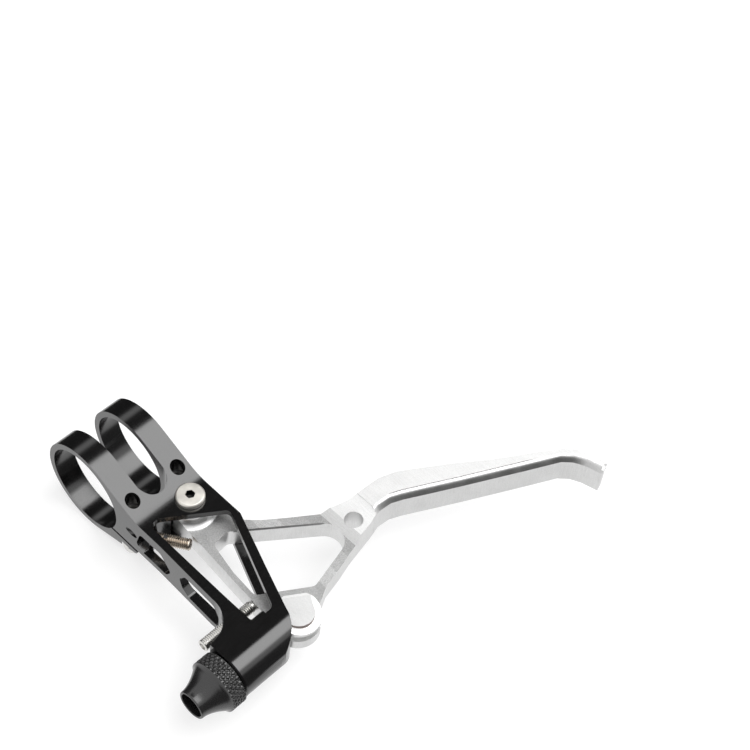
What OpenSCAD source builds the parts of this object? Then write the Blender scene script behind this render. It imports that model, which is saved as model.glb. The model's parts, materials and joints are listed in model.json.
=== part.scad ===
// Cable brake lever for a flat handlebar, left and right hands mirrored.
// Frame: origin in the middle of the handlebar clamp bore, +X along the
// handlebar towards the lever tip, +Z along the lever pivot towards its bolt
// head, -Y from the handlebar towards the lever. Millimetres.

/* [Handlebar clamp] */
// Diameter of the handlebar clamp bore
bar_d = 22.2; // [22.2:0.1:22.6]
// Wall of each clamp ring
ring_wall = 1.6; // [1.4:0.1:1.8]
// Width of each clamp ring along the handlebar
ring_w = 5.75; // [5.4:0.05:6]
// Gap between the two clamp rings
ring_gap = 8; // [7.6:0.1:8.2]
// Distance from the bar axis to the clamp bolts
bolt_y = 13.9; // [13.8:0.1:14]
// Slit that lets each ring close on the bar
slit = 0.75; // [0.6:0.05:0.9]

/* [Bracket] */
// Overall thickness across the two side plates
plate_t_all = 11.5; // [11.5:0.1:12]
// Thickness of each side plate
plate_t = 1.7; // [1.5:0.1:1.7]
// Outside diameter of the barrel boss
boss_d = 12.4; // [12.2:0.1:12.6]
// Distance from the bar axis to the barrel boss axis
boss_y = 58.7; // [58.5:0.1:59]
// Left end of the barrel boss
boss_x0 = -18.6; // [-19:0.1:-18.4]
// Right end of the barrel boss
boss_x1 = -3.3; // [-3.8:0.1:-3.3]

/* [Pivot] */
// Pivot position along the bar
piv_x = 4.2; // [4.1:0.05:4.3]
// Distance from the bar axis to the pivot
piv_y = 21.2; // [21.1:0.05:21.3]
// Pivot bolt head diameter
piv_head_d = 7; // [6.6:0.1:7.2]
// Pivot bolt head height
piv_head_h = 1.4; // [1.2:0.1:1.6]

/* [Lever blade] */
// Thickness of the lever arms
arm_t = 5.5; // [5.2:0.1:5.6]
// Height of the finger face
face_h = 7.9; // [7.6:0.1:8]
// Underside of the blade below the pivot centre plane
blade_z0 = 3.9; // [3.9:0.01:3.95]
// Thickness of the top flange of the blade
flange_t = 2.2; // [2:0.1:2.4]
// Diameter of the lightening hole at the fork of the blade
fork_hole_d = 4.5; // [4.2:0.1:4.8]
// Cable nipple pocket diameter
nipple_d = 7.2; // [7.1:0.1:7.3]

/* [Barrel adjuster] */
// Diameter of the knurled ring
knurl_d = 13.4; // [13:0.1:13.6]
// Width of the knurled ring
knurl_w = 4.4; // [4:0.1:4.6]
// Length of the tapered nose
nose_l = 6.2; // [5.8:0.1:6.4]
// Outside diameter of the nose mouth
mouth_d = 7.4; // [7.2:0.1:7.6]
// Bore that seats the cable housing ferrule
ferrule_d = 6.1; // [6:0.05:6.2]

/* [Hidden] */
$fn = 64;

e = 0.01;
br = bar_d / 2;                       // bar clamp bore radius
ro = br + ring_wall;                  // ring outer radius
xi = ring_gap / 2;                    // inner faces of the rings
xo = xi + ring_w;                     // outer faces of the rings
xm = (xi + xo) / 2;                   // clamp bolts along the bar
zt = plate_t_all / 2;                 // outer faces of the plates
zi = zt - plate_t;                    // inner faces of the plates
bend_y = -17.85;                      // where the straps meet the plates
bend_r = 14;                          // radius of that bend
tail_y = -17.8;                       // lower corner of each jaw
tail_z = -7.6;
seat_z = -8.1;                        // spot face under each bolt head

// Angle, from the +Z or -Z side, at which a line from (py, pz) touches the ring
function tan_a(py, pz) = atan2(abs(py), abs(pz)) - acos(ro / norm([py, pz]));
at = tan_a(bend_y, zt);
aj = tan_a(tail_y, tail_z);
bend_t = bend_r * tan(at / 2);        // tangent length of the bend

// Stop screw axis, in the plane z = 0
sq = [-9.75, -16.4];                  // where the axis leaves the side wall
st = [-1.9, -28.3];                   // centre of the screw tip
sl = norm(st - sq);
sa = atan2(st[1] - sq[1], st[0] - sq[0]);
scr_r = 1.5;                          // M3 screws
stop_s0 = 2.2;                        // blind end of its thread, under a key hole

reach_y = -49.6;                      // reach screw axis
reach_x0 = -17.9;                     // its outer end
reach_x1 = -2.65;                     // its tip

bolt_r = 1.5;
bolt_l = 10;                          // M3 x 10 clamp bolts
ins_r = 1.8;                          // thread insert outside
nest = 0.02;                          // radial gap of a turned fit

hub_r = 5;                            // lever hub
cove_r = 2.5;                         // cove round the foot of the hub
brg_ro = 4;                           // 4 x 8 x 3 bearings
brg_ri = 2;
brg_w = 3;
ball_r = 0.6;
ball_n = 8;
ball_pc = 3;                          // ball pitch circle radius

bz = -blade_z0;                       // underside of the blade
az = bz + arm_t;                      // top of the arms
fz = bz + face_h;                     // top edge of the finger face
gz = fz + 0.8;                        // top of the flange
pad_z = 3.6;                          // raised pad round the fork hole
lz = 3.3;                             // roof of the cable lobe
roof = 1.9;                           // roof of the nipple pocket
lobe = [2.5, -59.1];
lobe_r = 5.3;

stem_r = 5;                           // M10 stem of the adjuster
kx = boss_x0 - 0.3;                   // inner face of the knurled ring

module yz(x0, x1) translate([x0, 0, 0]) rotate([90, 0, 90]) linear_extrude(x1 - x0) children();
module xcyl(x0, x1, r, y, z = 0) translate([x0, y, z]) rotate([0, 90, 0]) cylinder(h = x1 - x0, r = r);
module xcone(x0, x1, r0, r1, y) translate([x0, y, 0]) rotate([0, 90, 0]) cylinder(h = x1 - x0, r1 = r0, r2 = r1);
module along(p, a, s0, s1, r, fn = 48) translate([p[0], p[1], 0]) rotate([0, 0, a]) translate([s0, 0, 0]) rotate([0, 90, 0]) cylinder(h = s1 - s0, r = r, $fn = fn);
module hexz(z0, z1, af) translate([0, 0, z0]) cylinder(h = z1 - z0, r = af / sqrt(3), $fn = 6);

// ---- bracket ----------------------------------------------------------

module body_side() {
    circle(r = ro, $fn = 128);
    polygon(concat([[-ro * sin(at), ro * cos(at)]],
        [for (i = [0 : 8]) let (a = at * (1 - i / 8)) [bend_y - bend_t + bend_r * sin(a), zt + bend_r * (1 - cos(a))]],
        [[-46, zt], [-boss_y, boss_d / 2], [-boss_y, -boss_d / 2], [-46, -zt], [-9, -zt], [-2, 0]]));
    polygon([[-ro * sin(aj), -ro * cos(aj)], [tail_y, tail_z], [tail_y - 0.5, -zt - slit], [-9, -zt - slit], [-2, -6]]);
}

module body_plan() {
    difference() {
        polygon([[xo, 16], [xo, -32.2], [-0.1, -57.6], [-0.43, -boss_y], [boss_x0, -boss_y],
                 [boss_x0, -52.9], [-17.9, -52.9], [-10.4, -45.2], [-xo, -26], [-xo, 16]]);
        translate([-17.95, -45.2]) circle(r = 7.6);
        // notch between the rings, round at its lower end
        translate([0, -12]) circle(r = xi);
        translate([-xi, -12]) square([2 * xi, 30]);
    }
}

// The boss ends in a large arc that carries on from the plates' edge
ec = [-9.6, -55.1];
er = 9.85;
module boss_plan()
    polygon(concat([[boss_x0 - 1, -50], [boss_x0 - 1, ec[1] - er]], [for (i = [0 : 23]) ec + er * [cos(3 * i - 90), sin(3 * i - 90)]],
        [[-0.43, -boss_y + 0.2], [-2.5, -50]]));

// Room for the cable lobe and the arm beside it
module lobe_room() {
    translate(lobe) circle(r = lobe_r + 0.45);
    translate([boss_x1, lobe[1]]) square([6, 10]);
    translate([0.3, -66]) square([6, 10]);
}

module window_plan() {
    offset(r = 1.6, $fn = 32) offset(delta = -1.6)
        polygon([[-7.7, -20.6], [-5.0, -20.6], [6.2, -28.3], [8.6, -29.9], [-2.0, -55.4], [-7.9, -55.4]]);
}

module side_slot_a() {
    offset(r = 1.3, $fn = 32) offset(delta = -1.3)
        polygon([[-18.0, -2.6], [-19.5, 2.6], [-26.6, 2.6], [-30.2, -1.2], [-28.4, -4.05], [-20.5, -4.05]]);
}

module side_slot_b() {
    offset(r = 1.2, $fn = 32) offset(delta = -1.2)
        polygon([[-33.2, 0.2], [-35.2, 3.2], [-44.8, 3.3], [-47.0, 0.4], [-46.9, -4.05], [-36.4, -4.05], [-34.2, -2.6]]);
}

module body() color([0.07, 0.07, 0.08]) difference() {
    union() {
        difference() {
            intersection() {
                yz(-24, 14) body_side();
                translate([0, 0, -15]) linear_extrude(30) body_plan();
            }
            // space between the plates, open towards +X
            translate([0, 0, -zi]) linear_extrude(2 * zi) {
                translate([-8, -60]) square([24, 39.5]);
                translate([piv_x, -piv_y]) circle(r = hub_r + 0.45);
                translate([piv_x, -21]) square([12, 3.6]);
            }
        }
        // barrel boss, split at its inner end round the cable lobe
        difference() {
            intersection() {
                union() {
                    xcyl(boss_x0 + 0.4, 1, boss_d / 2, -boss_y);
                    xcone(boss_x0, boss_x0 + 0.4, boss_d / 2 - 0.4, boss_d / 2, -boss_y);
                }
                translate([0, 0, -10]) linear_extrude(20) boss_plan();
            }
            translate([0, 0, -zi]) linear_extrude(2 * zi) lobe_room();
        }
    }
    // jaws stay separate between the rings
    translate([-xi, -22, -15]) cube([2 * xi, 20, 15 - zt]);
    // handlebar bore
    xcyl(-14, 14, br, 0, $fn = 128);
    // closing slit of each ring
    translate([-14, -22, -zt - slit]) cube([28, 13.2, slit]);
    // lower window through both plates
    translate([0, 0, zi - 0.4]) linear_extrude(8) window_plan();
    translate([0, 0, -zt - 2]) linear_extrude(zt + 2 - zi + 0.4) window_plan();
    // slots in the side wall
    yz(-12, -7.9) { side_slot_a(); side_slot_b(); }
    for (s = [-1, 1]) translate([s * xm, -bolt_y, 0]) {
        // insert bore above the slit, clearance and spot face below it
        translate([0, 0, -zt - 0.1]) cylinder(h = 20, r = ins_r);
        translate([0, 0, -20]) cylinder(h = 20, r = 1.65);
        translate([0, 0, -20]) cylinder(h = 20 + seat_z, r = 3.1);
    }
    // pivot holes and the spot face under the bolt head
    translate([piv_x, -piv_y, 0]) {
        translate([0, 0, zt - nest]) cylinder(h = 9, r = piv_head_d / 2 + 0.15);
        cylinder(h = 20, r = 2);
        translate([0, 0, -20]) cylinder(h = 20, r = 2);
    }
    // stop screw thread and its key pocket
    along(sq, sa, stop_s0, 12, scr_r);
    along(sq, sa, -6, 4, 1.05);
    // reach screw thread
    xcyl(-20, 0, scr_r, reach_y);
    // adjuster thread and cable hole
    xcyl(boss_x0 - 1, boss_x1 - 2.8, stem_r, -boss_y);
    xcyl(boss_x1 - 3, boss_x1 + 1, 2.4, -boss_y);
}

module thread_inserts() color([0.7, 0.7, 0.72]) for (s = [-1, 1]) translate([s * xm, -bolt_y, 0]) difference() {
    translate([0, 0, -zt + 0.1]) cylinder(h = 9, r = ins_r);
    translate([0, 0, -20]) cylinder(h = 40, r = bolt_r);
}

module clamp_bolts() color([0.75, 0.75, 0.76]) for (s = [-1, 1]) translate([s * xm, -bolt_y, 0]) difference() {
    union() {
        translate([0, 0, seat_z - 2.7]) cylinder(h = 2.7, r = 2.75);
        translate([0, 0, seat_z - 3]) cylinder(h = 0.3, r1 = 2.45, r2 = 2.75);
        translate([0, 0, seat_z - e]) cylinder(h = bolt_l - 0.4 + e, r = bolt_r);
        translate([0, 0, seat_z + bolt_l - 0.4]) cylinder(h = 0.4, r1 = bolt_r, r2 = 1.1);
    }
    hexz(seat_z - 4, seat_z - 1.5, 2.5);
}

// ---- pivot ------------------------------------------------------------

module pivot_bolt() color([0.78, 0.77, 0.75]) translate([piv_x, -piv_y, 0]) difference() {
    union() {
        translate([0, 0, zt]) cylinder(h = piv_head_h - 0.5, r = piv_head_d / 2);
        translate([0, 0, zt + piv_head_h - 0.5]) cylinder(h = 0.5, r1 = piv_head_d / 2, r2 = piv_head_d / 2 - 0.5);
        translate([0, 0, zt - 7]) cylinder(h = 7 + e, r = 1.25);
    }
    hexz(zt - 0.6, zt + 4, 2);
}

module pivot_axle() color([0.78, 0.77, 0.75]) translate([piv_x, -piv_y, 0]) difference() {
    translate([0, 0, -zt - 1]) cylinder(h = 2 * zt + 0.9, r = 2);
    translate([0, 0, -20]) cylinder(h = 40, r = 1.25);
}

// The two pivot bearings are mirrored about the plane z = 0
module at_bearings() for (s = [0, 1]) mirror([0, 0, s]) translate([piv_x, -piv_y, zi - 0.15 - brg_w]) children();

module race(r0, r1) rotate_extrude($fn = 96) difference() {
    translate([r0, 0]) square([r1 - r0, brg_w]);
    translate([ball_pc, brg_w / 2]) circle(r = ball_r + 0.04, $fn = 48);
}

module bearing_inner_rings() color([0.7, 0.71, 0.73]) at_bearings() race(brg_ri, 2.62);
module bearing_outer_rings() color([0.7, 0.71, 0.73]) at_bearings() race(3.38, brg_ro);
module bearing_balls() color([0.8, 0.8, 0.82]) at_bearings() for (i = [0 : ball_n - 1]) rotate([0, 0, i * 360 / ball_n]) translate([ball_pc, 0, brg_w / 2]) sphere(r = ball_r, $fn = 32);
module bearing_cages() color([0.3, 0.28, 0.2]) at_bearings() difference() {
    // crown cage: a thin ring under the balls with fingers between them
    translate([0, 0, brg_w / 2 - 0.9]) cylinder(h = 1.3, r = ball_pc + 0.22);
    translate([0, 0, -1]) cylinder(h = 5, r = ball_pc - 0.22);
    for (i = [0 : ball_n - 1]) rotate([0, 0, i * 360 / ball_n]) translate([ball_pc, 0, brg_w / 2 - ball_r - 0.05]) cylinder(h = 4, r = ball_r + 0.05);
}
module bearing_shields() color([0.6, 0.6, 0.62]) at_bearings() for (z = [0.15, brg_w - 0.3]) translate([0, 0, z]) difference() {
    cylinder(h = 0.15, r = 3.38);
    translate([0, 0, -1]) cylinder(h = 3, r = 2.72);
}
module bearing_spacer() color([0.65, 0.65, 0.67]) translate([piv_x, -piv_y, -(zi - 0.15 - brg_w)]) difference() {
    cylinder(h = 2 * (zi - 0.15 - brg_w), r = 2.6);
    translate([0, 0, -1]) cylinder(h = 10, r = 2);
}
module bearing_shims() color([0.7, 0.7, 0.72]) for (s = [0, 1]) mirror([0, 0, s]) translate([piv_x, -piv_y, zi - 0.15]) difference() {
    cylinder(h = 0.15, r = 2.7);
    translate([0, 0, -1]) cylinder(h = 3, r = 2);
}

// ---- lever blade ------------------------------------------------------

// Front outline of the finger blade, from the fork to the tip
front = [[27.3, -54.4], [31.4, -53.6], [35.2, -52.6], [38.6, -52.9], [41.4, -54.1], [47.7, -57.4], [54.3, -60.9],
         [61.2, -64.4], [69.0, -68.4], [77.2, -72.5], [79.3, -74.6], [80.6, -77.2], [81.8, -81.5]];
// Bar side outline of the flange, from the tip back to the fork
back_f = [[84.0, -80.9], [83.3, -77.4], [81.6, -73.1], [79.4, -70.8], [74.4, -67.5], [64.0, -61.0],
          [57.0, -55.9], [49.8, -51.2], [44.9, -48.1], [40.5, -46.6], [34.0, -46.2]];
// Bar side outline of the web below the flange
back_w = [[83.6, -81.0], [82.4, -77.0], [80.6, -73.4], [78.4, -71.2], [70.2, -66.4], [62.4, -62.2],
          [55.4, -58.4], [48.8, -54.6], [44.0, -51.4], [40.0, -48.6], [34.0, -46.2]];

module arms_plan() {
    translate([piv_x, -piv_y]) circle(r = hub_r);
    polygon([[piv_x - hub_r, -piv_y], [-0.6, -26.5], [-2.75, -52.6], [-2.75, -59.3], [3, -62], [9.2, -59.7],
             [12.6, -57.9], [18.1, -56.7], [22.6, -55.4], [27.3, -54.4], [31.4, -53.6], [34.0, -52.9],
             [34.0, -46.2], [31.4, -45.6], [27.7, -44.6], [25.4, -43.4], [19.2, -39.0], [13.6, -34.8],
             [10.6, -31.8], [9.2, -28.0], [piv_x + hub_r, -piv_y]]);
    translate(lobe) circle(r = lobe_r);
}

// Window between the three arms, with a large round end at the fork
wc = [20.8, -49.0];
wr = 4.6;
module blade_window() {
    offset(r = 1.5, $fn = 32) offset(delta = -1.5)
        polygon(concat([[1.2, -32.4], [5.9, -32.0]], [for (i = [0 : 26]) wc + wr * [cos(52.8 - 5 * i), sin(52.8 - 5 * i)]],
            [[10.6, -56.2], [-1.1, -48.6], [-0.5, -41.0]]));
}

module lever_blade() color([0.82, 0.83, 0.84]) difference() {
    union() {
        // arms, fork and cable lobe
        translate([0, 0, bz]) linear_extrude(arm_t) arms_plan();
        // hub up to the plates, with a cove round its foot
        translate([piv_x, -piv_y, bz]) cylinder(h = 2 * blade_z0, r = hub_r);
        intersection() {
            translate([piv_x, -piv_y, 0]) rotate_extrude() difference() {
                translate([hub_r - 0.6, az - 0.5]) square([cove_r + 0.6, cove_r + 0.4]);
                translate([hub_r + cove_r, az + cove_r]) circle(r = cove_r + 0.1);
            }
            linear_extrude(12) arms_plan();
        }
        // cable lobe: a thick round block with a sloping shoulder towards -Y
        // and a raised D-shaped roof
        difference() {
            translate([lobe[0], lobe[1], bz]) linear_extrude(lz - 0.2 - bz) intersection() {
                circle(r = lobe_r);
                rotate(56.3) translate([-7, -7]) square([11.65, 14]);
            }
            translate([lobe[0] - 9, -58, lz - 0.2]) rotate([11.5, 0, 0]) translate([0, -9, 0]) cube([18, 14, 6]);
        }
        translate([lobe[0], lobe[1], roof - 0.5]) linear_extrude(lz - roof + 0.5) {
            circle(r = 3.75);
            rotate(56.3) translate([0, -3.5]) square([3.9, 7]);
        }
        // raised pad at the fork, with a steep step up from the arms and a
        // ramp on to the flange
        intersection() {
            translate([0, -40, 0]) rotate([90, 0, 0]) linear_extrude(20)
                polygon([[25.0, bz + 1], [25.0, az], [27.0, pad_z], [31.4, pad_z], [34.4, gz], [36.5, gz], [36.5, bz + 1]]);
            translate([0, 0, bz]) linear_extrude(12) polygon([[22.6, -55.4], [27.3, -54.4], [31.4, -53.6], [35.2, -52.6], [36.6, -52.6], [36.6, -46.4], [34.0, -46.2],
                [31.4, -45.6], [27.7, -44.6], [25.4, -43.4], [22.6, -41.4]]);
        }
        // finger web and flange
        translate([0, 0, bz]) linear_extrude(face_h) polygon(concat([[33, -46.2], [33, -53.2]], [for (i = [2 : len(front) - 1]) front[i]], back_w));
        translate([0, 0, gz - flange_t]) linear_extrude(flange_t) polygon(concat([[33.95, -46.2], [33.95, -51.6]],
            [for (i = [2 : len(front) - 1]) front[i] + (i > 8 ? [1.3, 0.9] : [0.9, 1.5])], back_f));
    }
    // hub bore for the two bearings
    translate([piv_x, -piv_y, -10]) cylinder(h = 20, r = brg_ro + nest / 2);
    translate([0, 0, bz - 1]) linear_extrude(12) blade_window();
    // lightening hole at the fork
    translate([28.7, -50.4, -10]) cylinder(h = 20, r = fork_hole_d / 2);
    // nipple pocket, open below, with a drill mark in its roof
    translate([lobe[0], lobe[1], bz - 1]) cylinder(h = roof - bz + 1, r = nipple_d / 2);
    translate([lobe[0], lobe[1], bz - 1]) cylinder(h = roof - bz + 1.6, r = 0.9);
    // cable slot between the two ears, and the notch that lets the cable into it
    translate([lobe[0], lobe[1], -1]) rotate([0, 0, 150]) linear_extrude(2) polygon([[0, 0], [12, 0], [8, 12], [-4, 12], [-12, 6]]);
    translate([lobe[0], lobe[1], bz - 1]) rotate([0, 0, -48]) translate([0, -1, 0]) cube([9, 2, 1 - bz + 0.9]);
}

// ---- adjusting screws -------------------------------------------------

module stop_screw() color([0.72, 0.72, 0.72]) difference() {
    union() {
        along(sq, sa, stop_s0 + 3.2, sl - 0.3, scr_r - nest);
        translate([sq[0], sq[1], 0]) rotate([0, 0, sa]) translate([sl - 0.3, 0, 0]) rotate([0, 90, 0]) cylinder(h = 0.3, r1 = scr_r - nest, r2 = 1.2);
    }
    translate([sq[0], sq[1], 0]) rotate([0, 0, sa]) translate([stop_s0 + 3, 0, 0]) rotate([0, 90, 0]) cylinder(h = 2, r = 1.5 / sqrt(3), $fn = 6);
    translate([sq[0], sq[1], 0]) rotate([0, 0, sa]) translate([8.2, 0, 0]) cylinder(h = 3, r = 0.5);
}
module stop_screw_pellet() color([0.2, 0.35, 0.7]) translate([sq[0], sq[1], 0]) rotate([0, 0, sa]) translate([8.2, 0, 0]) intersection() {
    cylinder(h = 3, r = 0.5);
    translate([-2, 0, 0]) rotate([0, 90, 0]) cylinder(h = 4, r = scr_r - nest);
}

module reach_screw() color([0.78, 0.77, 0.74]) difference() {
    union() {
        xcyl(reach_x0 + 0.3, reach_x1 - 0.3, scr_r - nest, reach_y);
        xcone(reach_x0, reach_x0 + 0.3, 1.2, scr_r - nest, reach_y);
        xcone(reach_x1 - 0.3, reach_x1, scr_r - nest, 1.2, reach_y);
    }
    translate([reach_x0 - 1, reach_y, 0]) rotate([0, 90, 0]) cylinder(h = 3, r = 1.5 / sqrt(3), $fn = 6);
    translate([-9.8, reach_y, 0]) cylinder(h = 3, r = 0.5);
}
module reach_screw_pellet() color([0.2, 0.35, 0.7]) translate([-9.8, reach_y, 0]) intersection() {
    cylinder(h = 3, r = 0.5);
    translate([-2, 0, 0]) rotate([0, 90, 0]) cylinder(h = 4, r = scr_r - nest);
}

// ---- barrel adjuster --------------------------------------------------

nr = [for (i = [0 : 8]) let (t = i / 8) [knurl_w + 0.5 + t * (nose_l - 1.1), mouth_d / 2 + (knurl_d / 2 - 0.9 - mouth_d / 2) * pow(1 - t, 1.7)]];

module barrel_adjuster() color([0.08, 0.08, 0.09]) translate([kx, -boss_y, 0]) rotate([0, -90, 0]) rotate_extrude($fn = 96) difference() {
    union() {
        polygon(concat([[0, 0], [knurl_d / 2 - 0.5, 0], [knurl_d / 2, 0.5], [knurl_d / 2, knurl_w - 0.5], [knurl_d / 2 - 0.6, knurl_w + 0.1]],
            [for (p = nr) [p[1], p[0]]], [[mouth_d / 2, knurl_w + nose_l - 0.3], [mouth_d / 2 - 0.3, knurl_w + nose_l], [0, knurl_w + nose_l]]));
        translate([0, -11]) square([stem_r - nest, 11.1]);
    }
    // ferrule seat, cable passage and ring groove
    translate([-1, knurl_w + nose_l - 8]) square([1 + ferrule_d / 2, 9]);
    translate([-1, -12]) square([1 + 1.3, 30]);
    translate([stem_r - 0.85, -9.5]) square([2, 1.5]);
}
module adjuster_o_ring() color([0.05, 0.05, 0.05]) translate([kx, -boss_y, 0]) rotate([0, -90, 0]) rotate_extrude($fn = 96) translate([stem_r - 0.43, -8.75]) circle(r = 0.4, $fn = 32);

body();
thread_inserts();
clamp_bolts();
pivot_bolt();
pivot_axle();
bearing_inner_rings();
bearing_outer_rings();
bearing_balls();
bearing_cages();
bearing_shields();
bearing_spacer();
bearing_shims();
lever_blade();
stop_screw();
stop_screw_pellet();
reach_screw();
reach_screw_pellet();
barrel_adjuster();
adjuster_o_ring();
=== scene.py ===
import json
import math

import bmesh
import bpy
from mathutils import Matrix, Vector


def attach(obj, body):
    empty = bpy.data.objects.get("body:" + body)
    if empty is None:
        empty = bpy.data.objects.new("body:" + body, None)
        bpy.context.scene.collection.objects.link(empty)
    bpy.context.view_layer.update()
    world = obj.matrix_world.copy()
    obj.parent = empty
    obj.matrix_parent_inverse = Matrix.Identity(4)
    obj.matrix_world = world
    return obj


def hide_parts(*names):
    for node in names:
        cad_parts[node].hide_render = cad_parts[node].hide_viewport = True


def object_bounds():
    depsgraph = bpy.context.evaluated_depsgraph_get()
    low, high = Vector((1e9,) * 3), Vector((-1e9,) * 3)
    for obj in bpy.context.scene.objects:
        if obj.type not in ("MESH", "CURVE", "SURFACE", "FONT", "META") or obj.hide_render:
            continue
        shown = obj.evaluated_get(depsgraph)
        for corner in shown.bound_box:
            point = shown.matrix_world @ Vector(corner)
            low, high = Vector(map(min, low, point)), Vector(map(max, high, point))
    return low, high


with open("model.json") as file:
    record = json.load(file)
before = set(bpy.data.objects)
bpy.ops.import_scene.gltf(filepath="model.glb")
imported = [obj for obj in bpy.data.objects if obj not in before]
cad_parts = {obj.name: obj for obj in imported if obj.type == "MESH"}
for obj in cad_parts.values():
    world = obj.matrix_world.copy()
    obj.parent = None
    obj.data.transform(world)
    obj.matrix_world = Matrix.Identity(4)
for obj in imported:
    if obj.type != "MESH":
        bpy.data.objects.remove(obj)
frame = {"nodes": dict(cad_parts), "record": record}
cad_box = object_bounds()

MM = 0.001
PIV = (4.2, -21.2)            # lever pivot
BOSS_Y = -58.7                # barrel axis
SQ = (-9.75, -16.4)           # stop screw axis, where it leaves the side wall
ST = (-1.9, -28.3)            # its tip


# ---------------------------------------------------------------- materials

def new_mat(name):
    m = bpy.data.materials.new(name)
    m.use_nodes = True
    nt = m.node_tree
    nt.nodes.clear()
    out = nt.nodes.new("ShaderNodeOutputMaterial")
    bs = nt.nodes.new("ShaderNodeBsdfPrincipled")
    nt.links.new(bs.outputs[0], out.inputs[0])
    return m, nt, bs


def coords(nt, scale=(1, 1, 1), rot=(0, 0, 0), loc=(0, 0, 0)):
    tc = nt.nodes.new("ShaderNodeTexCoord")
    mp = nt.nodes.new("ShaderNodeMapping")
    mp.inputs["Scale"].default_value = scale
    mp.inputs["Rotation"].default_value = rot
    mp.inputs["Location"].default_value = loc
    nt.links.new(tc.outputs["Object"], mp.inputs[0])
    return mp.outputs[0]


def noise(nt, vec, scale, detail=3.0, rough=0.5):
    n = nt.nodes.new("ShaderNodeTexNoise")
    n.inputs["Scale"].default_value = scale
    n.inputs["Detail"].default_value = detail
    n.inputs["Roughness"].default_value = rough
    nt.links.new(vec, n.inputs["Vector"])
    return n.outputs["Fac"]


def remap(nt, fac, lo, hi, a=0.3, b=0.7):
    r = nt.nodes.new("ShaderNodeMapRange")
    r.inputs["From Min"].default_value = a
    r.inputs["From Max"].default_value = b
    r.inputs["To Min"].default_value = lo
    r.inputs["To Max"].default_value = hi
    nt.links.new(fac, r.inputs["Value"])
    return r.outputs["Result"]


def ramp(nt, fac, stops):
    r = nt.nodes.new("ShaderNodeValToRGB")
    cr = r.color_ramp
    cr.elements[0].position, cr.elements[0].color = stops[0][0], (*stops[0][1], 1)
    cr.elements[1].position, cr.elements[1].color = stops[-1][0], (*stops[-1][1], 1)
    for p, c in stops[1:-1]:
        e = cr.elements.new(p)
        e.color = (*c, 1)
    nt.links.new(fac, r.inputs[0])
    return r.outputs[0]


def bump(nt, bs, height, strength, dist, prev=None):
    b = nt.nodes.new("ShaderNodeBump")
    b.inputs["Strength"].default_value = strength
    b.inputs["Distance"].default_value = dist
    nt.links.new(height, b.inputs["Height"])
    if prev:
        nt.links.new(prev, b.inputs["Normal"])
    nt.links.new(b.outputs[0], bs.inputs["Normal"])
    return b.outputs[0]


def rings_height(nt, center, axis, freq):
    """Concentric turning lines round an axis through center, in metres."""
    v = coords(nt, loc=tuple(-c for c in center))
    sep = nt.nodes.new("ShaderNodeSeparateXYZ")
    nt.links.new(v, sep.inputs[0])
    cmb = nt.nodes.new("ShaderNodeCombineXYZ")
    for i in range(3):
        if i != axis:
            nt.links.new(sep.outputs[i], cmb.inputs[i])
    ln = nt.nodes.new("ShaderNodeVectorMath")
    ln.operation = "LENGTH"
    nt.links.new(cmb.outputs[0], ln.inputs[0])
    mul = nt.nodes.new("ShaderNodeMath")
    mul.operation = "MULTIPLY"
    mul.inputs[1].default_value = freq
    nt.links.new(ln.outputs["Value"], mul.inputs[0])
    sn = nt.nodes.new("ShaderNodeMath")
    sn.operation = "SINE"
    nt.links.new(mul.outputs[0], sn.inputs[0])
    return sn.outputs[0]


def mat_black(name="black_anodised_gloss", r0=0.13, r1=0.21, ior=1.77, tone=0.004):
    """Dyed oxide layer: almost black, with a clear hard surface over it."""
    m, nt, bs = new_mat(name)
    bs.inputs["IOR"].default_value = ior
    v = coords(nt)
    big = noise(nt, v, 160, 4)
    c = ramp(nt, big, [(0.25, (tone * 0.8, tone * 0.78, tone * 0.8)), (0.75, (tone * 1.25, tone * 1.2, tone * 1.22))])
    nt.links.new(c, bs.inputs["Base Color"])
    fine = noise(nt, v, 5200, 2)
    lines = noise(nt, coords(nt, scale=(1, 26, 26)), 330, 3, 0.6)
    nt.links.new(remap(nt, lines, r0, r1), bs.inputs["Roughness"])
    b1 = bump(nt, bs, fine, 0.05, 0.00002)
    bump(nt, bs, lines, 0.05, 0.00002, b1)
    return m


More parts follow.
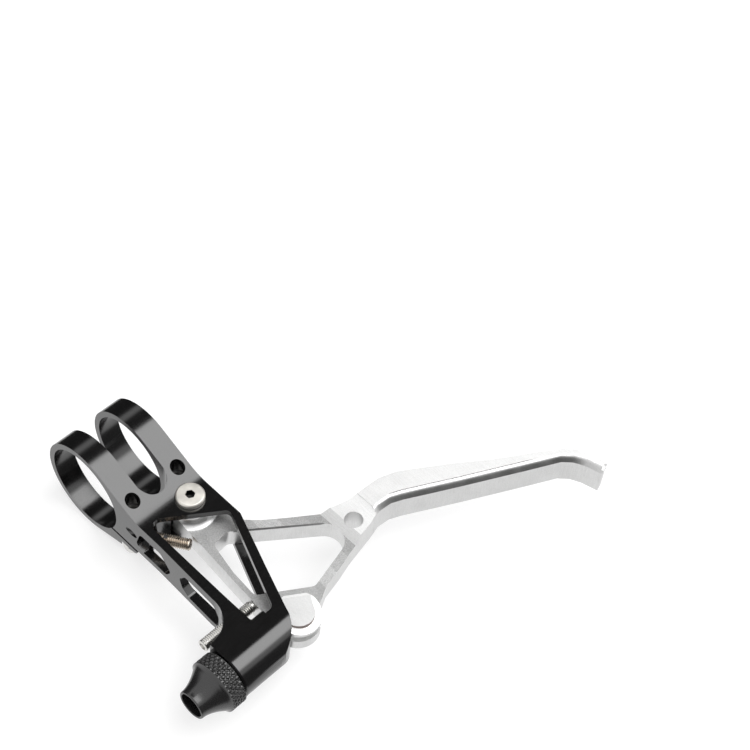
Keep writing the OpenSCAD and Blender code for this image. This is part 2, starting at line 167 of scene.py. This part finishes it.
def mat_silver(name="satin_machined_aluminium", base=0.6, r0=0.34, r1=0.46, grain=0.3, contrast=0.1, passes_and_painted_shade=False):
    m, nt, bs = new_mat(name)
    bs.inputs["Metallic"].default_value = 1.0
    v = coords(nt)
    big = noise(nt, v, 240, 5, 0.6)
    spk = noise(nt, v, 3600, 3, 0.7)
    c = ramp(nt, spk, [(0.3, (base * (1 - contrast),) * 3), (0.5, (base, base, base * 0.995)), (0.72, (base * (1 + contrast),) * 3)])
    lines = noise(nt, coords(nt, scale=(30, 1.2, 1.2), rot=(0, 0, 0.5)), 260, 3, 0.6)
    tint = nt.nodes.new("ShaderNodeMix")
    tint.data_type = "RGBA"
    tint.blend_type = "MULTIPLY"
    tint.inputs["Factor"].default_value = 1.0
    nt.links.new(c, tint.inputs["A"])
    nt.links.new(ramp(nt, lines, [(0.36, (0.93, 0.93, 0.927)), (0.62, (1.0, 1.0, 1.0))]), tint.inputs["B"])
    c = tint.outputs["Result"]
    if passes_and_painted_shade:
        # cutter passes across the arms, each with its own finish; the lighter and darker steps between them are
        # painted shading in the colour
        sep = nt.nodes.new("ShaderNodeSeparateXYZ")
        nt.links.new(v, sep.inputs[0])
        k = nt.nodes.new("ShaderNodeMath")
        k.operation = "MULTIPLY"
        k.inputs[1].default_value = 20.0
        nt.links.new(sep.outputs[0], k.inputs[0])
        st = nt.nodes.new("ShaderNodeValToRGB")
        cr = st.color_ramp
        cr.interpolation = "CONSTANT"
        cr.elements[0].position, cr.elements[0].color = 0.0, (0.80, 0.80, 0.80, 1)
        cr.elements[1].position, cr.elements[1].color = 0.43, (0.72, 0.72, 0.72, 1)
        for p, g in ((0.24, 0.98), (0.31, 1.0), (0.335, 0.86), (0.375, 0.84)):
            e = cr.elements.new(p)
            e.color = (g, g, g, 1)
        nt.links.new(k.outputs[0], st.inputs[0])
        mu = nt.nodes.new("ShaderNodeMix")
        mu.data_type = "RGBA"
        mu.blend_type = "MULTIPLY"
        mu.inputs["Factor"].default_value = 1.0
        nt.links.new(c, mu.inputs["A"])
        nt.links.new(st.outputs[0], mu.inputs["B"])
        c = mu.outputs["Result"]
    nt.links.new(c, bs.inputs["Base Color"])
    nt.links.new(remap(nt, big, r0, r1), bs.inputs["Roughness"])
    b1 = bump(nt, bs, spk, grain, 0.00003)
    bump(nt, bs, lines, 0.12, 0.00003, b1)
    return m


def mat_turned(name, center, axis, base=(0.80, 0.775, 0.73), r0=0.2, r1=0.32, freq=52000):
    m, nt, bs = new_mat(name)
    bs.inputs["Metallic"].default_value = 1.0
    v = coords(nt)
    big = noise(nt, v, 420, 4)
    d = tuple(x * 0.86 for x in base)
    nt.links.new(ramp(nt, big, [(0.25, d), (0.7, base)]), bs.inputs["Base Color"])
    nt.links.new(remap(nt, big, r0, r1), bs.inputs["Roughness"])
    b1 = bump(nt, bs, rings_height(nt, tuple(c * MM for c in center), axis, freq), 0.18, 0.00001)
    bump(nt, bs, noise(nt, v, 6000, 2), 0.08, 0.00002, b1)
    return m


def mat_plain(name, c0, c1, r0, r1, scale=900, metal=0.0, bumpk=0.2, spec=None):
    m, nt, bs = new_mat(name)
    bs.inputs["Metallic"].default_value = metal
    if spec is not None:
        bs.inputs["Specular IOR Level"].default_value = spec
    v = coords(nt)
    n = noise(nt, v, scale, 4, 0.6)
    nt.links.new(ramp(nt, n, [(0.3, c0), (0.7, c1)]), bs.inputs["Base Color"])
    nt.links.new(remap(nt, n, r0, r1), bs.inputs["Roughness"])
    bump(nt, bs, noise(nt, v, scale * 5, 3), bumpk, 0.00003)
    return m


BLACK = mat_black()
BLACK_K = mat_black("black_anodised_turned", 0.2, 0.3, 1.7, 0.010)
SILVER = mat_silver(base=0.74, r0=0.32, r1=0.42, grain=0.22, contrast=0.07)
# the arms' material has the cutter passes, with their lighter and darker steps painted into the colour as shading
SILVER_ARM = mat_silver("coarse_milled_aluminium", base=0.58, r0=0.42, r1=0.55, grain=0.85, contrast=0.28, passes_and_painted_shade=True)
SILVER_TOP = mat_silver("satin_top_flats", base=0.84, r0=0.46, r1=0.55, grain=0.22, contrast=0.06)
SILVER_ROOF = mat_silver("fine_milled_roof", base=0.76, r0=0.46, r1=0.55, grain=0.3, contrast=0.08)
# dark brown painted shade for the step walls round the pocket's roof
STEP_PAINTED_SHADE = mat_plain("milled_step_painted_shade", (0.20, 0.165, 0.15), (0.34, 0.29, 0.27), 0.42, 0.55, 1400, 1.0, 0.2)
STEEL = mat_plain("stainless_steel", (0.62, 0.61, 0.59), (0.76, 0.75, 0.72), 0.2, 0.3, 700, 1.0, 0.08)
STEEL_D = mat_plain("thread_insert_steel", (0.10, 0.10, 0.10), (0.2, 0.195, 0.19), 0.3, 0.42, 900, 1.0, 0.1)
SCREW = mat_plain("screw_steel", (0.42, 0.37, 0.32), (0.6, 0.54, 0.47), 0.22, 0.34, 800, 1.0, 0.1)
# near-black painted shade for the inside of the hex socket
SOCKET_PAINTED_SHADE = mat_plain("socket_painted_shade", (0.02, 0.02, 0.02), (0.05, 0.048, 0.045), 0.4, 0.6, 900, 1.0, 0.1)
GROUND = mat_plain("ground_bearing_steel", (0.66, 0.67, 0.69), (0.78, 0.79, 0.81), 0.08, 0.14, 900, 1.0, 0.03)
CAGE = mat_plain("bearing_cage_plastic", (0.42, 0.37, 0.25), (0.58, 0.52, 0.38), 0.42, 0.55, 1200)
NYLON = mat_plain("lock_pellet_nylon", (0.02, 0.02, 0.02), (0.04, 0.04, 0.042), 0.4, 0.55, 1200)
RUBBER = mat_plain("o_ring_rubber", (0.015, 0.015, 0.015), (0.035, 0.035, 0.035), 0.5, 0.65, 1500)
BOLT_P = mat_turned("pivot_bolt_turned", (PIV[0], PIV[1], 0), 2, base=(0.86, 0.83, 0.77), r0=0.42, r1=0.5, freq=24000)
BOLT_C = mat_plain("clamp_bolt_steel", (0.6, 0.59, 0.57), (0.76, 0.75, 0.73), 0.16, 0.26, 700, 1.0, 0.06)


# ---------------------------------------------------------------- geometry

def link(me, name, mat, body, node, sharp=35):
    ob = bpy.data.objects.new(name, me)
    bpy.context.collection.objects.link(ob)
    me.materials.clear()
    me.materials.append(mat)
    bm = bmesh.new()
    bm.from_mesh(me)
    bmesh.ops.recalc_face_normals(bm, faces=bm.faces)
    for f in bm.faces:
        f.smooth = True
    for e in bm.edges:
        if len(e.link_faces) == 2:
            e.smooth = e.calc_face_angle(0) < math.radians(sharp)
    bm.to_mesh(me)
    bm.free()
    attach(ob, body)
    if node:
        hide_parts(node)
    return ob


def loft(rings, mat4, n):
    """rings: list of (s, r) or (s, function of angle giving r); s runs along local Z, in mm. Ends are closed."""
    bm = bmesh.new()
    rows = []
    for s, r in rings:
        row = []
        for i in range(n):
            a = 2 * math.pi * i / n
            rr = r(a) if callable(r) else r
            row.append(bm.verts.new(mat4 @ Vector((rr * math.cos(a) * MM, rr * math.sin(a) * MM, s * MM))))
        rows.append(row)
    for a, b in zip(rows, rows[1:]):
        for i in range(n):
            j = (i + 1) % n
            bm.faces.new((a[i], a[j], b[j], b[i]))
    for row, (s, r) in ((rows[0], rings[0]), (rows[-1], rings[-1])):
        c = bm.verts.new(mat4 @ Vector((0, 0, s * MM)))
        for i in range(n):
            bm.faces.new((row[i], row[(i + 1) % n], c))
    me = bpy.data.meshes.new("loft")
    bm.to_mesh(me)
    bm.free()
    return me


def join_meshes(mes):
    bm = bmesh.new()
    for me in mes:
        bm.from_mesh(me)
    out = bpy.data.meshes.new("joined")
    bm.to_mesh(out)
    bm.free()
    return out


def hexr(af):
    return lambda a: (af / 2) / math.cos((a + math.pi / 6) % (math.pi / 3) - math.pi / 6)


def place(x, y, z, axis):
    """Local Z goes along axis, at x, y, z in mm."""
    q = Vector(axis).to_track_quat("Z", "Y")
    return Matrix.Translation((x * MM, y * MM, z * MM)) @ q.to_matrix().to_4x4()


def thread_rows(s0, s1, r, pitch, depth, per=6, fade=0.5):
    out = []
    k = int(round((s1 - s0) / pitch * per))
    for i in range(k + 1):
        s = s0 + (s1 - s0) * i / k

        def f(a, s=s):
            t = (s / pitch - a / (2 * math.pi)) % 1.0
            w = abs(2 * t - 1)                       # 1 at crest, 0 at root
            w = min(1.0, max(0.0, (w - 0.12) / 0.72))
            e = min(1.0, min(s - s0, s1 - s) / fade + 0.15)
            return r - depth * (1 - w) * e
        out.append((s, f))
    return out


def tidy(me, gap=0.02):
    """Merges vertices closer than gap, in mm, and drops what that leaves flat."""
    bm = bmesh.new()
    bm.from_mesh(me)
    bmesh.ops.remove_doubles(bm, verts=bm.verts, dist=gap * MM)
    bmesh.ops.dissolve_degenerate(bm, edges=bm.edges, dist=0.005 * MM)
    bmesh.ops.recalc_face_normals(bm, faces=bm.faces)
    bm.to_mesh(me)
    bm.free()


def refine(node, name, mat, cutters=(), fills=(), sharp=50):
    """A copy of a CAD node, with fills joined on and cutters taken off."""
    src = frame["nodes"][node]
    me = src.data.copy()
    bm = bmesh.new()
    bm.from_mesh(me)
    bmesh.ops.remove_doubles(bm, verts=bm.verts, dist=2e-6)
    bmesh.ops.dissolve_limit(bm, angle_limit=math.radians(0.6), verts=bm.verts, edges=bm.edges)
    bm.to_mesh(me)
    bm.free()
    ob = bpy.data.objects.new("tmp_" + name, me)
    bpy.context.collection.objects.link(ob)
    for c, op in [(c, "UNION") for c in fills] + [(c, "DIFFERENCE") for c in cutters]:
        md = ob.modifiers.new("cut", "BOOLEAN")
        md.operation = op
        md.solver = "EXACT"
        md.object = c
    bpy.context.view_layer.update()
    ob.data = bpy.data.meshes.new_from_object(ob.evaluated_get(bpy.context.evaluated_depsgraph_get()))
    ob.modifiers.clear()
    tidy(ob.data)
    bpy.context.view_layer.update()
    dg = bpy.context.evaluated_depsgraph_get()
    out = bpy.data.meshes.new_from_object(ob.evaluated_get(dg))
    bpy.data.objects.remove(ob)
    for c in list(cutters) + list(fills):
        bpy.data.objects.remove(c)
    body = next(b for b, ns in frame["record"]["behaviour"]["bodies"].items() if node in ns)
    ob = link(out, name, mat, body, node, sharp=sharp)
    wn = ob.modifiers.new("flat_faces", "WEIGHTED_NORMAL")
    wn.mode = "FACE_AREA"
    wn.weight = 100
    wn.keep_sharp = True
    return ob


def sweep(path, profile):
    """A closed prism swept along (x, y) points. The profile is (d, z) in mm, d measured to the left of the path."""
    bm = bmesh.new()
    rows = []
    for i, p in enumerate(path):
        a = path[max(i - 1, 0)]
        b = path[min(i + 1, len(path) - 1)]
        dx, dy = b[0] - a[0], b[1] - a[1]
        ln = math.hypot(dx, dy)
        nx, ny = -dy / ln, dx / ln
        rows.append([bm.verts.new(((p[0] + nx * q) * MM, (p[1] + ny * q) * MM, z * MM)) for q, z in profile])
    n = len(profile)
    for a, b in zip(rows, rows[1:]):
        for i in range(n):
            j = (i + 1) % n
            bm.faces.new((a[i], a[j], b[j], b[i]))
    bm.faces.new(rows[0])
    bm.faces.new(rows[-1])
    bmesh.ops.recalc_face_normals(bm, faces=bm.faces)
    me = bpy.data.meshes.new("sweep")
    bm.to_mesh(me)
    bm.free()
    ob = bpy.data.objects.new("sweep", me)
    bpy.context.collection.objects.link(ob)
    return ob


def inside_mat(ob, mat, center, axis, r, lo, hi):
    """Gives faces inside a socket a second material: within r of the axis, lo to hi along it, in mm."""
    ob.data.materials.append(mat)
    ax = Vector(axis).normalized()
    c = Vector(center) * MM
    for p in ob.data.polygons:
        d = p.center - c
        s = d.dot(ax)
        if (d - ax * s).length < r * MM and lo * MM < s < hi * MM:
            p.material_index = len(ob.data.materials) - 1


# bracket and blade: the CAD shapes, the blade with its sloping edges cut
refine("body", "bracket_machined", BLACK, sharp=28)
# The finger face: its front outline, with a sloping edge along the top
front = [(33.6, -53.05), (35.2, -52.6), (38.6, -52.9), (41.4, -54.1), (47.7, -57.4), (54.3, -60.9), (61.2, -64.4), (69.0, -68.4), (77.2, -72.5),
         (79.3, -74.6), (80.6, -77.2), (81.9, -81.9)]
fill = sweep([(34.1, -52.9)] + front[1:-1] + [(81.65, -81.0)], [(0.03, 3.2), (0.13, 4.79), (1.6, 4.79), (1.6, 3.2)])
chamfer = sweep(front + [(82.2, -83.0)], [(-0.6, 1.9), (-0.05, 3.0), (0.38, 3.93), (0.695, 4.38), (0.91, 4.59), (1.08, 4.7), (1.22, 4.75), (1.6, 4.81), (1.6, 5.4), (-0.6, 5.4)])
# the upper arm's outer edge is broken by a sloping face
arm_edge = sweep([(7, -32.84), (23.3, -45.15), (23.9, -45.9)], [(-0.14, 0.78), (0.33, 1.79), (0.33, 2.1), (-0.5, 2.1), (-0.5, 0.78)])
blade = refine("lever_blade", "blade_machined", SILVER, cutters=(chamfer, arm_edge), fills=(fill,), sharp=22)
blade.data.materials.append(SILVER_ARM)
blade.data.materials.append(SILVER_TOP)
blade.data.materials.append(SILVER_ROOF)
blade.data.materials.append(STEP_PAINTED_SHADE)
for p in blade.data.polygons:
    c = p.center / MM
    # the low flats of the three arms are left coarse, and so is the web between them
    if p.normal.z > 0.9 and 1.3 < c.z < 1.75 and c.x < 25.3:
        p.material_index = 1
    elif math.hypot(c.x - 2.5, c.y + 59.1) < 5.2 and c.z > 1.95:
        # the raised roof of the pocket, its wall, and the shoulder round it; the outward walls of the shoulder and of
        # the roof get a dark painted shade
        rad = Vector((c.x - 2.5, c.y + 59.1, 0))
        out = p.normal.dot(rad.normalized())
        if p.normal.z > 0.9 and c.z > 3.2:
            p.material_index = 3
        elif p.normal.z > 0.85:
            p.material_index = 2
        # the outward walls of the shoulder and of the roof: dark brown painted shade
        elif c.z > 3.05 and out > 0 or abs(rad.length - 3.75) < 0.12 and out > 0.8:
            p.material_index = 4
    elif p.normal.z > 0.85 and c.z > 1.75 or p.normal.z > 0.6 and c.z > 1.75 and 24.5 < c.x < 27.5:
        p.material_index = 2

# pivot bolt: domed flat head, hex socket
T = place(PIV[0], PIV[1], 0, (0, 0, 1))
zt, hh = 5.75, 1.4
me = loft([(zt - 6.9, 1.2), (zt, 1.24), (zt, 3.3), (zt + 0.1, 3.46), (zt + 0.35, 3.5), (zt + hh - 0.5, 3.5), (zt + hh - 0.4, 3.47), (zt + hh - 0.08, 3.2), (zt + hh - 0.01, 3.08), (zt + hh, 2.95),
           (zt + hh, 1.5), (zt + hh, hexr(2.16)), (zt + hh - 0.1, hexr(2.04)), (zt - 0.55, hexr(2.0)), (zt - 0.75, 0.5)], T, 96)
ob = link(me, "pivot_bolt_detailed", BOLT_P, "bracket", "pivot_bolt", sharp=24)
# the inside of the hex socket gets near-black painted shade
inside_mat(ob, SOCKET_PAINTED_SHADE, (PIV[0], PIV[1], 0), (0, 0, 1), 1.22, 3, zt + hh - 0.09)

# clamp bolts: socket heads with fluted sides
mes = []
for sgn in (-1, 1):
    T = place(sgn * 6.875, -13.9, -8.1, (0, 0, -1))
    flute = lambda a: 2.75 - 0.09 * (0.5 + 0.5 * math.cos(36 * a))
    rows = [(-10.0, 1.05), (-9.7, 1.4)] + thread_rows(-9.6, -2.6, 1.49, 0.5, 0.27) + [(-2.4, 1.4), (-0.3, 1.4), (0, 1.5), (0, 2.6), (0.15, flute), (2.35, flute), (2.45, 2.72), (2.75, 2.68), (2.95, 2.5), (3.0, 2.3),
             (3.0, 1.62), (2.9, hexr(2.56)), (1.5, hexr(2.5)), (1.2, 0.5)]
    mes.append(loft(rows, T, 144))
link(join_meshes(mes), "clamp_bolts_detailed", BOLT_C, "bracket", "clamp_bolts")

# set screws: real threads, cup and dog ends, hex sockets
sl = math.hypot(ST[0] - SQ[0], ST[1] - SQ[1])
d = ((ST[0] - SQ[0]) / sl, (ST[1] - SQ[1]) / sl, 0)
T = place(SQ[0], SQ[1], 0, d)
s0 = 5.4
rows = [(s0 + 2.0, 0.3), (s0 + 1.8, hexr(1.5)), (s0 + 0.15, hexr(1.5)), (s0 + 0.02, hexr(1.62)), (s0, 1.05), (s0 + 0.02, 1.2)] + thread_rows(s0 + 0.2, sl - 0.35, 1.48, 0.5, 0.28) + [(sl - 0.2, 1.3), (sl, 1.08), (sl, 0.75), (sl - 0.3, 0.4)]
link(loft(rows, T, 72), "stop_screw_threaded", SCREW, "stop_screw_body", "stop_screw")

T = place(-17.9, -49.6, 0, (1, 0, 0))
L = 15.25
rows = [(2.0, 0.3), (1.8, hexr(1.5)), (0.15, hexr(1.5)), (0.02, hexr(1.62)), (0.0, 1.05), (0.05, 1.25)] + thread_rows(0.2, L - 0.6, 1.48, 0.5, 0.2) + [(L - 0.5, 1.3), (L - 0.1, 1.28), (L, 1.15), (L, 0.6), (L - 0.1, 0.3)]
link(loft(rows, T, 72), "reach_screw_threaded", STEEL, "reach_screw_body", "reach_screw")

# barrel adjuster: knurled ring, hollow tapered nose, M10 stem
T = place(-18.9, BOSS_Y, 0, (-1, 0, 0))


def knurl(s):
    """Crossed V grooves: flat diamonds left between two helical sets."""
    def f(a):
        u = 30 * a / (2 * math.pi)
        k = s / 1.5
        p = abs(((u + k) % 1) * 2 - 1)
        q = abs(((u - k) % 1) * 2 - 1)
        g = min(1.0, 1.7 * min(p, q))
        e = min(1.0, min(s - 0.3, 4.1 - s) / 0.35 + 0.1)
        return 6.68 - 0.32 * (1 - g) * e
    return f


rows = [(-10.7, 1.3), (-11.0, 1.5), (-11.0, 4.4), (-10.7, 4.75)] + thread_rows(-10.5, -9.6, 4.97, 1.0, 0.4, 8) + [(-9.5, 4.9), (-9.5, 4.15), (-8.0, 4.15), (-8.0, 4.9)] + thread_rows(-7.9, -0.6, 4.97, 1.0, 0.5, 8) + [(-0.4, 4.5), (0, 4.5), (0, 6.1), (0.25, 6.4)]
k = 30
rows += [(0.3 + 3.8 * i / k, knurl(0.3 + 3.8 * i / k)) for i in range(k + 1)]
rows += [(4.25, 6.35), (4.5, 6.1), (4.75, 5.85)]
for i in range(13):
    t = i / 12
    rows.append((4.95 + t * 5.1, 3.7 + (5.75 - 3.7) * (1 - t) ** 1.7))
rows += [(10.3, 3.7), (10.5, 3.62), (10.6, 3.45), (10.6, 3.3), (10.45, 3.08), (3.2, 3.05), (2.6, 3.0), (2.6, 1.35), (-10.9, 1.3)]
# the lofted skin ends inside the bore, so the first and last rings meet
me = loft(rows, T, 300)
link(me, "barrel_adjuster_knurled", BLACK_K, "adjuster", "barrel_adjuster", sharp=24)

# the other CAD nodes keep their shapes
for node, mat in {"thread_inserts": STEEL_D, "pivot_axle": STEEL, "bearing_inner_rings": GROUND, "bearing_outer_rings": GROUND,
                  "bearing_balls": GROUND, "bearing_cages": CAGE, "bearing_shields": STEEL, "bearing_spacer": SILVER,
                  "bearing_shims": STEEL, "stop_screw_pellet": NYLON, "reach_screw_pellet": NYLON, "adjuster_o_ring": RUBBER}.items():
    o = frame["nodes"][node]
    o.data.materials.clear()
    o.data.materials.append(mat)

# ---------------------------------------------------------------- stage

zf = cad_box[0][2]
bpy.ops.mesh.primitive_plane_add(size=1.0, location=(0.02, -0.022, zf - 0.00005))
floor = bpy.context.object
floor.name = "floor"
floor.scale = (3, 3, 1)
floor.visible_glossy = False
fm, nt, bs = new_mat("pale_floor")
bs.inputs["Base Color"].default_value = (0.42, 0.42, 0.42, 1)
bs.inputs["Emission Color"].default_value = (1, 1, 1, 1)
bs.inputs["Emission Strength"].default_value = 0.62
bs.inputs["Roughness"].default_value = 0.9
bs.inputs["Specular IOR Level"].default_value = 0.1
floor.data.materials.append(fm)

# Studio light painted on the world: a pale surround, one bright panel over
# the front of the object, and dark flags behind it and low in front of it
PANEL = 3.95
w = bpy.data.worlds.new("studio")
bpy.context.scene.world = w
w.use_nodes = True
nt = w.node_tree
nt.nodes.clear()
out = nt.nodes.new("ShaderNodeOutputWorld")
bg = nt.nodes.new("ShaderNodeBackground")
nt.links.new(bg.outputs[0], out.inputs[0])
tc = nt.nodes.new("ShaderNodeTexCoord")
sep = nt.nodes.new("ShaderNodeSeparateXYZ")
nt.links.new(tc.outputs["Generated"], sep.inputs[0])


def math_node(op, a, b=None, clamp=False):
    n = nt.nodes.new("ShaderNodeMath")
    n.operation = op
    n.use_clamp = clamp
    for i, x in enumerate((a, b)):
        if x is None:
            continue
        if isinstance(x, (int, float)):
            n.inputs[i].default_value = x
        else:
            nt.links.new(x, n.inputs[i])
    return n.outputs[0]


def step(x, e0, e1):
    """0 below e0, 1 above e1, smooth between; e0 > e1 turns it round."""
    n = nt.nodes.new("ShaderNodeMapRange")
    n.interpolation_type = "SMOOTHSTEP"
    lo, hi = min(e0, e1), max(e0, e1)
    n.inputs["From Min"].default_value = lo
    n.inputs["From Max"].default_value = hi
    n.inputs["To Min"].default_value = 0 if e0 < e1 else 1
    n.inputs["To Max"].default_value = 1 if e0 < e1 else 0
    nt.links.new(x, n.inputs["Value"])
    return n.outputs["Result"]


def mul(*xs):
    r = xs[0]
    for x in xs[1:]:
        r = math_node("MULTIPLY", r, x)
    return r


def mix(a, b, t):
    """a where t is 0, b where t is 1."""
    return math_node("ADD", math_node("MULTIPLY", a, math_node("SUBTRACT", 1.0, t)), math_node("MULTIPLY", b, t))


# directions over the object as (u, v) = (x, y) / z, low directions by azimuth
X, Y, Z = sep.outputs[0], sep.outputs[1], sep.outputs[2]
z = math_node("MAXIMUM", Z, 0.02)
u = math_node("DIVIDE", X, z)
v = math_node("DIVIDE", Y, z)
h = math_node("SQRT", math_node("ADD", math_node("ADD", math_node("MULTIPLY", X, X), math_node("MULTIPLY", Y, Y)), 0.0001))
ne = math_node("DIVIDE", math_node("ADD", math_node("MULTIPLY", X, 0.5), math_node("MULTIPLY", Y, 0.866)), h)
low = mul(step(Z, 0.56, 0.42), step(Z, -0.62, -0.46))
sw = math_node("DIVIDE", math_node("ADD", math_node("MULTIPLY", X, -0.342), math_node("MULTIPLY", Y, -0.94)), h)
south = mul(low, step(sw, 0.5, 0.75))
north = mul(low, step(ne, 0.45, 0.7))
gap = mul(step(v, 0.13, 0.24), step(v, 1.1, 0.75), step(u, 0.0, 0.2), step(u, 1.0, 0.75), step(Z, 0.1, 0.3))
panel = mul(step(v, 0.18, 0.07), step(v, -0.95, -0.6), step(u, -0.25, 0.05), step(u, 1.4, 1.0))
lum = mix(1.0, 0.035, gap)
lum = mix(lum, 0.03, north)
lum = mix(lum, 0.08, south)
lum = mix(lum, PANEL, panel)
lp = nt.nodes.new("ShaderNodeLightPath")
mx = nt.nodes.new("ShaderNodeMix")
mx.data_type = "FLOAT"
nt.links.new(lp.outputs["Is Camera Ray"], mx.inputs[0])
nt.links.new(lum, mx.inputs[2])
mx.inputs[3].default_value = 1.0
nt.links.new(mx.outputs[0], bg.inputs["Strength"])
bg.inputs["Color"].default_value = (1, 1, 1, 1)

# camera at the photograph's angle
az, el, roll = (math.radians(x) for x in (-50.908, 52.476, -6.839))
F, D, OX, OY = 1875.5, 443.7, 116.778, 465.729
back = Vector((math.sin(az) * math.cos(el), -math.cos(az) * math.cos(el), math.sin(el)))
right = Vector((math.cos(az), math.sin(az), 0))
up = back.cross(right)
R = right * math.cos(roll) - up * math.sin(roll)
U = right * math.sin(roll) + up * math.cos(roll)
t = ((OX - 375) / F * D, -(OY - 375) / F * D, -D)
C = -(R * t[0] + U * t[1] + back * t[2])
cd = bpy.data.cameras.new("camera")
cam = bpy.data.objects.new("camera", cd)
bpy.context.collection.objects.link(cam)
m = Matrix((R, U, back)).transposed().to_4x4()
m.translation = C * MM
cam.matrix_world = m
cd.sensor_width = 36
cd.lens = F / 750 * 36
cd.clip_start, cd.clip_end = 0.01, 20
cd.dof.use_dof = False
sc = bpy.context.scene
sc.camera = cam
sc.view_settings.view_transform = "Standard"
sc.view_settings.look = "None"
sc.view_settings.exposure = 0
sc.view_settings.gamma = 1
